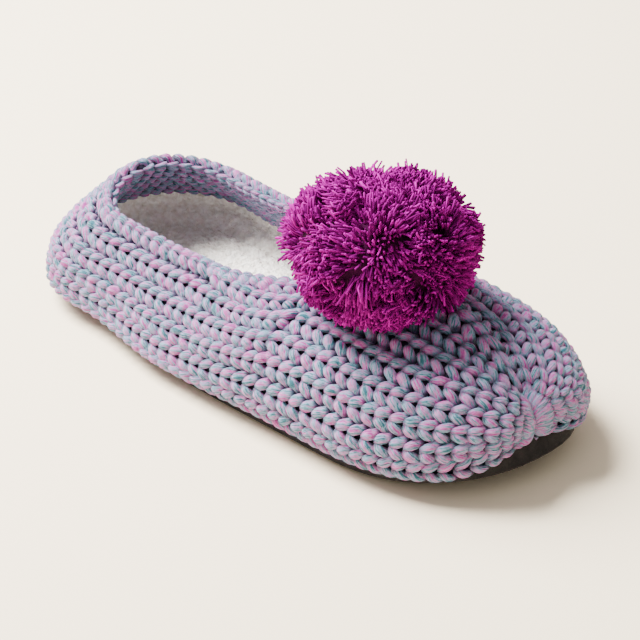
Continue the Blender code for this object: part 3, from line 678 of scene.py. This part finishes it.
def ribColumn(side, k):
    across = lambda t: np.full_like(t, k + 0.5)
    arcs, times = columnTimes(ribPlace, side, across, startOf(side, k, 0.62), 1.0)
    pitch = knit["rowPitch"]
    rows = np.arange(pitch * 0.42, arcs[-1] - knit["stop"], pitch)
    timeAt = lambda s: np.interp(s, arcs, times)
    scale = lambda t: np.clip(np.sqrt(pitchAt(side, t)), 0.66, 1.06)
    half = lambda t: np.full_like(t, 0.5)
    reach = lambda t: np.full_like(t, knit["edgeReach"])
    column = (ribPlace, ribNormal, side, timeAt, rows, across)
    if k > 0:
        return legs(*column, half, pitch, scale)
    upper = legs(*column, half, pitch, scale, ends=(1,))
    return upper + legs(*column, reach, pitch, scale, ends=(-1,), dive=knit["edgeSink"])


purl = {"radius": 1.35, "sink": 4.3, "reach": 0.26, "bow": 0.9, "rings": 7}


def purlColumn(side, k):                     # small bars that cross the groove between two ribs
    across = lambda t: np.full_like(t, float(k))
    arcs, times = columnTimes(ribPlace, side, across, startOf(side, k, 0.3), 1.0)
    rows = np.arange(knit["rowPitch"] * 0.5, arcs[-1] - knit["rowPitch"] * 1.5, knit["rowPitch"])
    u = np.linspace(-1.0, 1.0, purl["rings"])[None, :]
    t = np.interp(rows[:, None] + purl["bow"] * u**2, arcs, times)
    w = k + purl["reach"] * u + 0.0 * t
    size = np.clip(pitchAt(side, t), 0.3, 1.05)
    upward = ribNormal(side, t, w)
    centre = ribPlace(side, t, w) - upward * (purl["sink"] * size + purl["bow"] * u**2)[..., None]
    radius = purl["radius"] * size * (0.75 + 0.25 * np.cos(np.pi / 2.0 * u))
    # painted shade: the bars in the groove are darkened, most at their ends
    deep = 0.55 + 0.4 * u**2 + 0.0 * t
    return [{"centre": centre, "up": upward, "radius": radius, "deep": deep,
             "strand": chance.uniform(0.0, 1.0, len(rows))}]


heelSeam = {"half": 0.013, "step": 0.40, "radius": 1.55, "sink": 2.0, "tilt": 0.10}


def heelStitches():                          # the join down the middle of the heel
    w = np.arange(0.05, ribs["collar"] - 0.15, heelSeam["step"])[:, None]
    u = np.linspace(-1.0, 1.0, knit["rings"])[None, :]
    t = np.abs(u) * heelSeam["half"] + 0.0 * w
    high = w + heelSeam["tilt"] * np.abs(u)
    left = (u < 0.0)[..., None]
    upward = np.where(left, ribNormal(-1, t, high), ribNormal(1, t, high))
    centre = np.where(left, ribPlace(-1, t, high), ribPlace(1, t, high))
    centre = centre - upward * (heelSeam["sink"] + 1.4 * np.abs(u) ** 3 + 0.0 * t)[..., None]
    radius = heelSeam["radius"] * (0.7 + 0.3 * np.cos(np.pi / 2.0 * u)) + 0.0 * t
    # painted shade: the seam's loops darken towards their ends, where they sink in
    return [{"centre": centre, "up": upward, "radius": radius, "deep": 0.7 * np.abs(u) ** 3 + 0.0 * t,
             "strand": chance.uniform(0.0, 1.0, len(w))}]


def makeKnit():
    for side, name in ((-1, "knitOuterSide"), (1, "knitInnerSide")):
        paths = sum([ribColumn(side, k) for k in range(7)], [])
        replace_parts(addYarn(name, paths, marledYarn), "upper")
        bars = sum([purlColumn(side, k) for k in range(1, 8)], [])
        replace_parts(addYarn(name + "Purl", bars, marledYarn, sides=6), "upper")


rim = {
    "middle": 1.3, "half": 5.5, "scale": 0.90, "rowPitch": 5.7, "over": 0.35,
    "facing": (10.8, 16.6, 22.4, 28.2, 34.0, 39.8),      # middles of the facing's columns
    "facingHalf": 2.95, "facingScale": 0.58, "facingPitch": 5.0, "facingShort": 3.5,
}


def collarColumn(side, middle, half, scale, pitch):
    across = lambda t: np.full_like(t, middle)
    arcs, times = columnTimes(collarSurface, side, across, 0.0, throatAt)
    over = rim["over"] if middle == rim["middle"] else -rim["facingShort"]
    rows = np.arange(pitch * 0.4, arcs[-1] + over * pitch, pitch)
    timeAt = lambda s: np.interp(s, arcs, times)
    depth = facingDepth(side, timeAt(rows))
    rows = rows[middle + half * 0.2 < np.pi * collar["radius"] + depth]
    halfAt = lambda t: np.full_like(t, half)
    scaleAt = lambda t: np.full_like(t, scale)
    return legs(collarSurface, collarNormal, side, timeAt, rows, across, halfAt, pitch, scaleAt)


def makeCollar():
    paths = []
    for side in (-1, 1):
        paths += collarColumn(side, rim["middle"], rim["half"], rim["scale"], rim["rowPitch"])
    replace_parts(addYarn("knitRim", paths, marledYarn), "upper")
    paths = []
    for side in (-1, 1):
        for middle in rim["facing"]:
            paths += collarColumn(side, middle, rim["facingHalf"], rim["facingScale"], rim["facingPitch"])
    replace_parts(addYarn("knitFacing", paths, marledYarn, sides=6), "upper")


seam = {
    "half": 0.46, "pitch": 7.2, "scale": 1.22, "raise": 1.7, "sink": (0.3, 1.2),
    "bars": 3, "barHalf": 2.6, "barRadius": 1.3, "barLow": 1.5,
}
star = {
    "from": 8.0, "radius": 1.95, "tip": 0.8, "draw": 0.8, "dive": 1.0, "rise": 0.8, "under": 1.2,
    "ahead": 4.0, "z": 21.5, "first": 0.45, "step": 0.68,
}


def gatherStar(side):                        # the ends of the ribs, drawn together at the pinch
    u = np.linspace(0.0, 1.0, knit["rings"])
    paths = []
    pinch = np.array([gather["x"] + star["ahead"], centreLine(gather["x"]), star["z"]])
    for w in np.arange(star["first"], ribs["vamp"], star["step"]):
        across = lambda t: np.full_like(t, w)
        arcs, times = columnTimes(ribPlace, side, across, 0.9, 1.0)
        t = np.interp(arcs[-1] - star["from"] * (1.0 - u), arcs, times)
        upward = ribNormal(side, t, across(t))
        near = smooth((u - 0.25) / 0.75)
        sink = star["under"] - star["rise"] * np.sin(np.pi * u)
        centre = ribPlace(side, t, across(t)) - upward * sink[:, None]
        centre = centre + (pinch - centre) * (star["draw"] * near ** 2)[:, None]
        centre = centre - upward * (star["dive"] * (near ** 3 + (1.0 - smooth(u / 0.3))))[:, None]
        plump = np.sin(np.pi * np.clip(0.15 + 0.8 * u, 0.0, 1.0)) ** 0.7
        radius = (star["tip"] + (star["radius"] - star["tip"]) * plump) * chance.uniform(0.88, 1.08)
        # painted shade: each rib end darkens at its start and where it is drawn into the pinch
        deep = 0.7 * (1.0 - smooth(u / 0.2)) + 0.75 * smooth((u - 0.7) / 0.3)
        paths.append({"centre": centre[None], "up": upward[None], "radius": radius[None], "deep": deep[None],
                      "strand": chance.uniform(0.0, 1.0, 1)})
    return paths


def gatherBars():                            # the drawn yarn that closes the toe, bar over bar
    share = np.linspace(0.0, 1.0, seam["bars"])[:, None]
    u = np.linspace(-1.0, 1.0, knit["rings"])[None, :]
    low = gather["low"] - seam["barLow"]
    z = low + (topLine(gather["x"]) - low) * share + 0.8 * (share - 0.5) * np.abs(u)
    x = gather["x"] + gather["edge"] * (1.0 - share) - 1.4 + 1.6 * np.abs(u) ** 1.5 + 0.0 * z
    y = centreLine(gather["x"]) + seam["barHalf"] * u + 0.0 * z
    centre = np.stack([x, y, z], -1)
    radius = seam["barRadius"] * (0.6 + 0.4 * np.abs(u)) + 0.0 * z
    # painted shade: each bar darkens towards its middle, where it sits back in the pinch
    return [{"centre": centre, "up": np.broadcast_to([1.0, 0.0, 0.2], centre.shape), "radius": radius,
             "deep": 0.5 * (1.0 - np.abs(u)) + 0.0 * z, "strand": chance.uniform(0.0, 1.0, len(z))}]


def makeSeam():                              # chain of large loops down the middle of the vamp
    paths = []
    for side in (-1, 1):
        across = lambda t: np.full_like(t, ribs["vamp"] - 0.02)
        arcs, times = columnTimes(ribPlace, side, across, throatAt, 1.0)
        rows = np.arange(seam["pitch"] * 0.5, arcs[-1] - knit["stop"], seam["pitch"])
        timeAt = lambda s: np.interp(s, arcs, times)
        scale = lambda t: seam["scale"] * np.clip(pitchAt(side, t), 0.45, 1.0)
        half = lambda t: np.full_like(t, seam["half"])
        paths += legs(ribPlace, ribNormal, side, timeAt, rows, across, half, seam["pitch"], scale,
                      ends=(-1,), dive=seam["sink"])
    for path in paths:
        path["centre"] = path["centre"] + path["up"] * seam["raise"]
    paths += gatherStar(-1) + gatherStar(1) + gatherBars() + heelStitches()
    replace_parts(addYarn("knitSeam", paths, marledYarn), "upper")


def innerWall(side, t, depth):               # inside of the wall, from the facing or the crest down
    deep = np.where(t <= throatAt + 1e-9, facingDepth(side, t) - 1.0, 0.0)
    shares = np.linspace(0.0, 1.0, innerRows)
    vs = (1.0 - deep / spanOf(side, t))[:, None] * (1.0 - shares)
    ts = t[:, None] + 0.0 * shares
    rows = lining(side, ts, vs, np.full_like(ts, depth))
    edge, _, out, _ = frameOf(side, t)
    low = smooth((shares - 0.8) / 0.2)[None, :, None]
    foot = (edge - out * depth)[:, None]
    return rows * (1.0 - low) + foot * low


def joinMiddle(left, right):                 # both sides' points, brought together on the centre line
    middle = (left + right) / 2.0
    middle[..., 1] = centreLine(middle[..., 0])
    return middle


backing = {
    "columns": 90, "rows": 62, "rollRows": 12, "bandRows": 10,
    "underRoll": 2.4, "underFacing": 1.6, "band": (0.05, 0.93), "inside": 3.8,
}


def backingSide(side, t, front):             # outer wall, roll and facing of one side
    v = np.linspace(0.0, 1.0, backing["rows"])[None, :]
    w = v * ribsToCrest(side, t)[:, None]
    ts = t[:, None] + 0.0 * v
    groove = knit["groove"] * np.abs(2.0 * (w - np.floor(w)) - 1.0) ** 2.0
    size = np.clip(pitchAt(side, t), 0.2, 1.0)[:, None]
    drop = (knit["backing"] + groove) * size * smooth(v / 0.03)
    outer = shell(side, ts, v + 0.0 * ts) - shellNormal(side, ts, v + 0.0 * ts) * drop[..., None]
    rolled = np.pi * collar["radius"]
    tc = t[:front + 1, None]
    q = np.linspace(0.0, rolled, backing["rollRows"])[None, :] + 0.0 * tc
    roll = collarSurface(side, tc + 0.0 * q, q) - collarNormal(side, tc + 0.0 * q, q) * backing["underRoll"]
    share = np.linspace(*backing["band"], backing["bandRows"])[None, :]
    q = rolled + facingDepth(side, tc) * share
    band = collarSurface(side, tc + 0.0 * q, q) - collarNormal(side, tc + 0.0 * q, q) * backing["underFacing"]
    return {"outer": outer, "inner": innerWall(side, t, backing["inside"]), "roll": roll, "band": band}


def makeBacking():                           # the wall under the stitches, closed all round, painted near black as the shade between the stitches
    columns = backing["columns"]
    t = np.concatenate([np.linspace(0.0, throatAt, columns), np.linspace(throatAt, 1.0, columns)[1:]])
    front = columns - 1
    left, right = backingSide(-1, t, front), backingSide(1, t, front)
    for key in right:
        for row in (0, -1):
            left[key][row] = right[key][row] = joinMiddle(left[key][row], right[key][row])
    for key, column in (("outer", -1), ("inner", 0)):
        middle = joinMiddle(left[key][front:, column], right[key][front:, column])
        left[key][front:, column] = right[key][front:, column] = middle
    strips = []
    for inside, part in ((False, left), (True, right)):
        outer, inner = part["outer"], part["inner"]
        edge = slice(0, front + 1)
        lip = np.stack([inner[:, -1], outer[:, 0]], 1)
        roll = np.concatenate([outer[edge, -1:], part["roll"], part["band"], inner[edge, :1]], 1)
        strips += [(outer, inside), (inner, not inside), (roll, inside), (lip, inside)]
    piece = addSkin("knitBackingPaintedShade", strips, shadowKnit)
    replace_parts(piece, "upper")
    return piece


fleece = {
    "nap": 2.8, "lump": 0.15, "thin": -0.8,  # height and spacing of the clumps, and the deepest hollow
    "edge": 0.4, "thick": 1.3, "foot": 2.0, "bed": 2.0, "columns": 170, "end": 0.85,
    "bedColumns": 150, "bedRows": 62, "clear": 6.6,
}


def napOf(points, size):                     # soft clumps of pile
    values = []
    for x, y, z in points.reshape(-1, 3):
        place = Vector((x, y, z)) * fleece["lump"]
        clump = noise.voronoi(place * 1.6)[0][0]
        values.append(size * (1.0 - 1.1 * min(clump, 0.9)) + 0.5 * size * noise.noise(place * 3.4))
    return np.array(values).reshape(points.shape[:-1])


def fleeceSide(side, t):                     # back and pile of one side of the lining
    inner = innerWall(side, t, wall - 0.1)
    down = np.linspace(0.0, 1.0, innerRows)
    normal = np.stack([-shellNormal(side, t, np.full_like(t, v), 0.0) for v in 0.75 - 0.65 * down], 1)
    wave = 0.6 * np.sin(t * 70.0 + side) + 0.5 * np.sin(t * 163.0)
    wave = (wave + fleece["edge"]) * (1.0 - smooth((t - 0.75 * throatAt) / (0.2 * throatAt)))
    shift = smooth(1.0 - down / 0.25)[None, :] * (wave * (t < throatAt))[:, None]
    inner = inner + up * shift[..., None]
    nap = fleece["thick"] + np.maximum(napOf(inner, fleece["nap"]), fleece["thin"])
    nap = nap + fleece["foot"] * smooth(3.6 * down - 2.6)[None, :]
    nap = nap * np.minimum(1.0, 0.5 + np.arange(innerRows) / 2.0)[None, :]
    return inner, inner + normal * nap[..., None]


def makeFleece():
    t = np.linspace(0.0, fleece["end"], fleece["columns"])
    left, right = fleeceSide(-1, t), fleeceSide(1, t)
    for one, other in zip(left, right):
        one[0] = other[0] = joinMiddle(one[0], other[0])
        closed = t > throatAt
        one[closed, 0] = other[closed, 0] = joinMiddle(one[closed, 0], other[closed, 0])
    strips = []
    for inside, (back, nap) in ((False, left), (True, right)):
        rows = t <= throatAt
        top = np.stack([back[rows, 0], nap[rows, 0]], 1)
        bottom = np.stack([back[:, -1], nap[:, -1]], 1)
        end = np.stack([back[-1], nap[-1]], 1)
        strips += [(back, inside), (nap, not inside), (top, not inside), (bottom, inside), (end, inside)]
    addSkin("fleeceLining", strips, creamFleece)


def makeFootbed():
    t = np.linspace(0.0, 1.0, fleece["bedColumns"])
    rows = {}
    for side in (-1, 1):
        edge, _, out, _ = frameOf(side, t)
        rows[side] = edge - out * fleece["clear"]
    share = np.linspace(0.0, 1.0, fleece["bedRows"])[None, :, None]
    grid = rows[-1][:, None] * (1.0 - share) + rows[1][:, None] * share
    grid[..., 2] = soleLift(grid[..., 0]) + insole["sole"] + insole["gap"]
    width = np.abs(rows[1][:, 1] - rows[-1][:, 1])[:, None]
    crown = smooth(np.minimum(share[..., 0], 1.0 - share[..., 0]) * width / 2.5)
    top = grid.copy()
    top[..., 2] += insole["thick"] * (0.55 + 0.45 * crown)
    top[..., 2] += crown * np.maximum(napOf(grid, fleece["bed"]), fleece["thin"])
    strips = [(grid, False), (top, True)]
    strips += [(np.stack([grid[:, column], top[:, column]], 1), column == 0) for column in (0, -1)]
    strips += [(np.stack([grid[row], top[row]], 1), row == -1) for row in (0, -1)]
    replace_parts(addSkin("fleeceFootbed", strips, creamFleece), "insole")


pompom = {
    "at": (171.0, -9.5, 73.0), "half": (39.5, 39.5, 27.5),
    "strands": 13000, "pieces": 2, "radius": 0.40, "rings": 5, "sides": 3,
    "from": 0.68, "clear": 3.4, "shortest": 0.3,         # a strand's visible part, and its room over the knit
    "tufts": 150, "tuftPull": 0.16, "tuftLean": 0.20, "tuftUneven": 0.08, "loose": 0.006,
    "bend": 6.0, "curl": 1.8, "sweep": 0.17,
    "partings": ((0.66, -0.60, 0.46), (-0.75, 0.30, 0.60), (0.15, 0.95, 0.35), (-0.60, -0.80, 0.10),
                 (0.95, 0.35, -0.10)),
    "heart": 0.78, "heartClear": 3.5,        # ball inside the strands, painted dark as the shade deep in the pompom
}


def spread(count):                           # even directions over a ball
    k = np.arange(count) + 0.5
    polar, spin = np.arccos(1.0 - 2.0 * k / count), np.pi * (1.0 + 5.0**0.5) * k
    return np.stack([np.cos(spin) * np.sin(polar), np.sin(spin) * np.sin(polar), np.cos(polar)], -1)


def roomTo(tree, start, direction):          # way to the knit in millimetres, and how squarely it is met
    hit, normal, _, distance = tree.ray_cast(Vector(start), Vector(direction))
    if hit is None:
        return None, 1.0
    return distance / mm, max(abs(normal.dot(Vector(direction))), 0.3)


def aimStrands(tree, start, half):           # each strand's root and tip direction, and its length
    tufts = unit(spread(pompom["tufts"]) + chance.normal(0.0, 0.06, (pompom["tufts"], 3)))
    tuftLean = chance.normal(0.0, pompom["tuftLean"], tufts.shape)
    tuftSize = 1.0 - chance.uniform(0.0, 2.0 * pompom["tuftUneven"], len(tufts))
    ray = unit(spread(pompom["strands"]) + chance.normal(0.0, 0.03, (pompom["strands"], 3)))
    nearest = np.argmax(ray @ tufts.T, axis=1)
    loose = chance.uniform(0.0, 1.0, len(ray)) < pompom["loose"]
    pulled = ray * (1.0 - pompom["tuftPull"]) + tufts[nearest] * pompom["tuftPull"]
    tip = unit(pulled + tuftLean[nearest] * 0.5)
    reach = tuftSize[nearest] * chance.uniform(0.91, 1.02, len(ray)) * np.where(loose, 1.06, 1.0)
    reach = reach / np.linalg.norm(tip / half, axis=1)
    for i, direction in enumerate(tip):
        room, slant = roomTo(tree, start, direction)
        if room is not None:
            reach[i] = min(reach[i], room - pompom["clear"] / slant)
    keep = reach > pompom["shortest"] * half[2]
    return ray[keep], tip[keep], reach[keep]


def layStrands(centre, ray, tip, reach):     # middle lines, fanned out from the partings, bent and curled
    u = np.linspace(0.0, 1.0, pompom["rings"])[None, :, None]
    blend = u**1.5
    partings = unit(np.array(pompom["partings"]))
    own = partings[np.argmax(ray @ partings.T, axis=1)]
    away = ray - (ray * own).sum(1, keepdims=True) * own
    slope = np.linalg.norm(away, axis=1, keepdims=True)
    fan = unit(away) * pompom["sweep"] * smooth(slope / 0.35) * (1.0 - 0.6 * smooth((slope - 0.5) / 0.5))
    fan = fan * chance.uniform(0.5, 1.2, (len(ray), 1))
    aim = unit(ray[:, None] * (1.0 - blend) + tip[:, None] * blend + fan[:, None] * u**1.7)
    swing = np.cross(tip, unit(chance.normal(0.0, 1.0, tip.shape))) * chance.uniform(0.0, 1.0, (len(tip), 1))
    swing = swing * pompom["bend"]
    centres = centre + aim * reach[:, None, None] * (pompom["from"] + (1.0 - pompom["from"]) * u)
    curl = np.cross(tip, swing) * chance.uniform(-1.0, 1.0, (len(tip), 1)) / pompom["bend"] * pompom["curl"]
    return centres + swing[:, None] * u**2 + curl[:, None] * np.sin(2.0 * np.pi * u)


def makePompom(wallUnder):
    centre = np.array([pompom["at"][0], centreLine(pompom["at"][0]) + pompom["at"][1], pompom["at"][2]])
    half = np.array(pompom["half"])
    start = placed(centre)
    tree = BVHTree.FromObject(wallUnder, bpy.context.evaluated_depsgraph_get())
    ray, tip, reach = aimStrands(tree, start, half)
    centres = layStrands(centre, ray, tip, reach)
    u = np.linspace(0.0, 1.0, pompom["rings"])[None, :]
    radius = pompom["radius"] * (0.9 + 0.3 * u) * chance.uniform(0.75, 1.3, (len(tip), 1))
    # painted shade: the strands darken towards their roots, deep inside the pompom
    deep = 1.0 - smooth((u + 0.05) / 0.75) + 0.0 * radius
    strand = chance.uniform(0.0, 1.0, len(tip))
    for i in range(pompom["pieces"]):
        part = slice(i, None, pompom["pieces"])
        path = {"centre": centres[part], "up": np.repeat(unit(tip[part])[:, None, ::-1], pompom["rings"], 1),
                "radius": radius[part], "deep": deep[part], "strand": strand[part]}
        piece = addYarn("pompomYarn" + str(i + 1), [path], magentaYarn, pompom["sides"], 1.0)
        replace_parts(piece, "pompom")
    makeHeart(tree, start, half)


# a ball painted as the shade inside the pompom, kept clear of the knit
def makeHeart(tree, start, half):
    bpy.ops.object.select_all(action="DESELECT")
    bpy.ops.mesh.primitive_ico_sphere_add(subdivisions=4, radius=1.0, location=(0.0, 0.0, 0.0))
    heart = bpy.context.object
    heart.name = "pompomHeartPaintedShade"
    for vert in heart.data.vertices:
        direction = np.array(vert.co)
        length = pompom["heart"] / np.linalg.norm(direction / half)
        room, _ = roomTo(tree, start, direction)
        if room is not None:
            length = min(length, room - pompom["heartClear"])
        vert.co = Vector(start + direction * length * mm)
    heart.data.materials.append(paintedShadePompom)
    heart.data.shade_smooth()
    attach(heart, "root")
    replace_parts(heart, "pompom")


def paintSole():
    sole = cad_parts["outsole"]
    sole.data.materials.clear()
    sole.data.materials.append(darkSole)


print("knit")
makeKnit()
print("collar and seam")
makeCollar()
makeSeam()
print("backing")
wallUnder = makeBacking()
print("fleece")
makeFleece()
makeFootbed()
print("pompom")
makePompom(wallUnder)
print("sole")
paintSole()


# camera, floor and light

view = {
    "azimuth": 48.036, "elevation": 26.872, "distance": 1300.0, "aside": 45.06, "above": 60.84,
    "aim": (121.75, 0.0, 25.0), "turnRight": -1.84, "turnDown": 2.95,
    "focal": 2148.9, "picture": 640.0,       # in pixels
    "sensor": 36.0, "zoom": 1.58,
}


def makeCamera():
    azimuth, elevation = math.radians(view["azimuth"]), math.radians(view["elevation"])
    level = Vector((math.sin(azimuth), -math.cos(azimuth), 0.0))
    back = level * math.cos(elevation) + Vector((0.0, 0.0, math.sin(elevation)))
    right = Vector((math.cos(azimuth), math.sin(azimuth), 0.0))
    rise = back.cross(right)
    place = Vector(view["aim"]) + back * view["distance"] + right * view["aside"] + rise * view["above"]
    data = bpy.data.cameras.new("camera")
    data.sensor_width = view["sensor"]
    data.lens = view["focal"] * view["sensor"] / view["picture"] * view["zoom"]
    data.clip_start = 0.05
    data.clip_end = 20.0
    camera = bpy.data.objects.new("camera", data)
    turn = Matrix((right, rise, back)).transposed().to_4x4()
    turn = turn @ Matrix.Rotation(math.radians(-view["turnRight"]), 4, "Y")
    turn = turn @ Matrix.Rotation(math.radians(-view["turnDown"]), 4, "X")
    camera.matrix_world = Matrix.Translation(Vector(placed(place))) @ turn
    bpy.context.scene.collection.objects.link(camera)
    bpy.context.scene.camera = camera


studio = {
    "floor": (0.98, 0.85, 0.64), "floorSize": 8.0, "floorFinish": {"Roughness": 0.8},
    "sky": (1.0, 0.94, 0.87), "skyStrength": 0.60,
    "lights": {
        "keyLight": {"place": (-0.74, -0.26, 1.14), "size": 0.8, "power": 118.0,
                     "colour": (1.0, 0.975, 0.94)},
        "fillLight": {"place": (0.5, -1.6, 1.2), "size": 1.6, "power": 3.0,
                      "colour": (0.96, 0.98, 1.0)},
    },
}


def addLight(name, place, size, power, colour):      # aimed at the middle of the slipper
    data = bpy.data.lights.new(name, "AREA")
    data.size = size
    data.energy = power
    data.color = colour
    light = bpy.data.objects.new(name, data)
    light.location = place
    light.rotation_euler = (-Vector(place)).to_track_quat("-Z", "Y").to_euler()
    bpy.context.scene.collection.objects.link(light)


def makeStudio():
    bpy.ops.object.select_all(action="DESELECT")
    bpy.ops.mesh.primitive_plane_add(size=studio["floorSize"], location=(0.0, 0.0, 0.0))
    floor = bpy.context.object
    floor.name = "floor"
    material, _, _, shader = newMaterial("paleFloor")
    shader.inputs["Base Color"].default_value = (*studio["floor"], 1.0)
    setFinish(shader, studio["floorFinish"])
    floor.data.materials.append(material)
    for name, light in studio["lights"].items():
        addLight(name, **light)
    world = bpy.data.worlds.new("world")
    world.use_nodes = True
    background = world.node_tree.nodes["Background"]
    background.inputs["Color"].default_value = (*studio["sky"], 1.0)
    background.inputs["Strength"].default_value = studio["skyStrength"]
    bpy.context.scene.world = world


print("camera and studio")
makeCamera()
makeStudio()
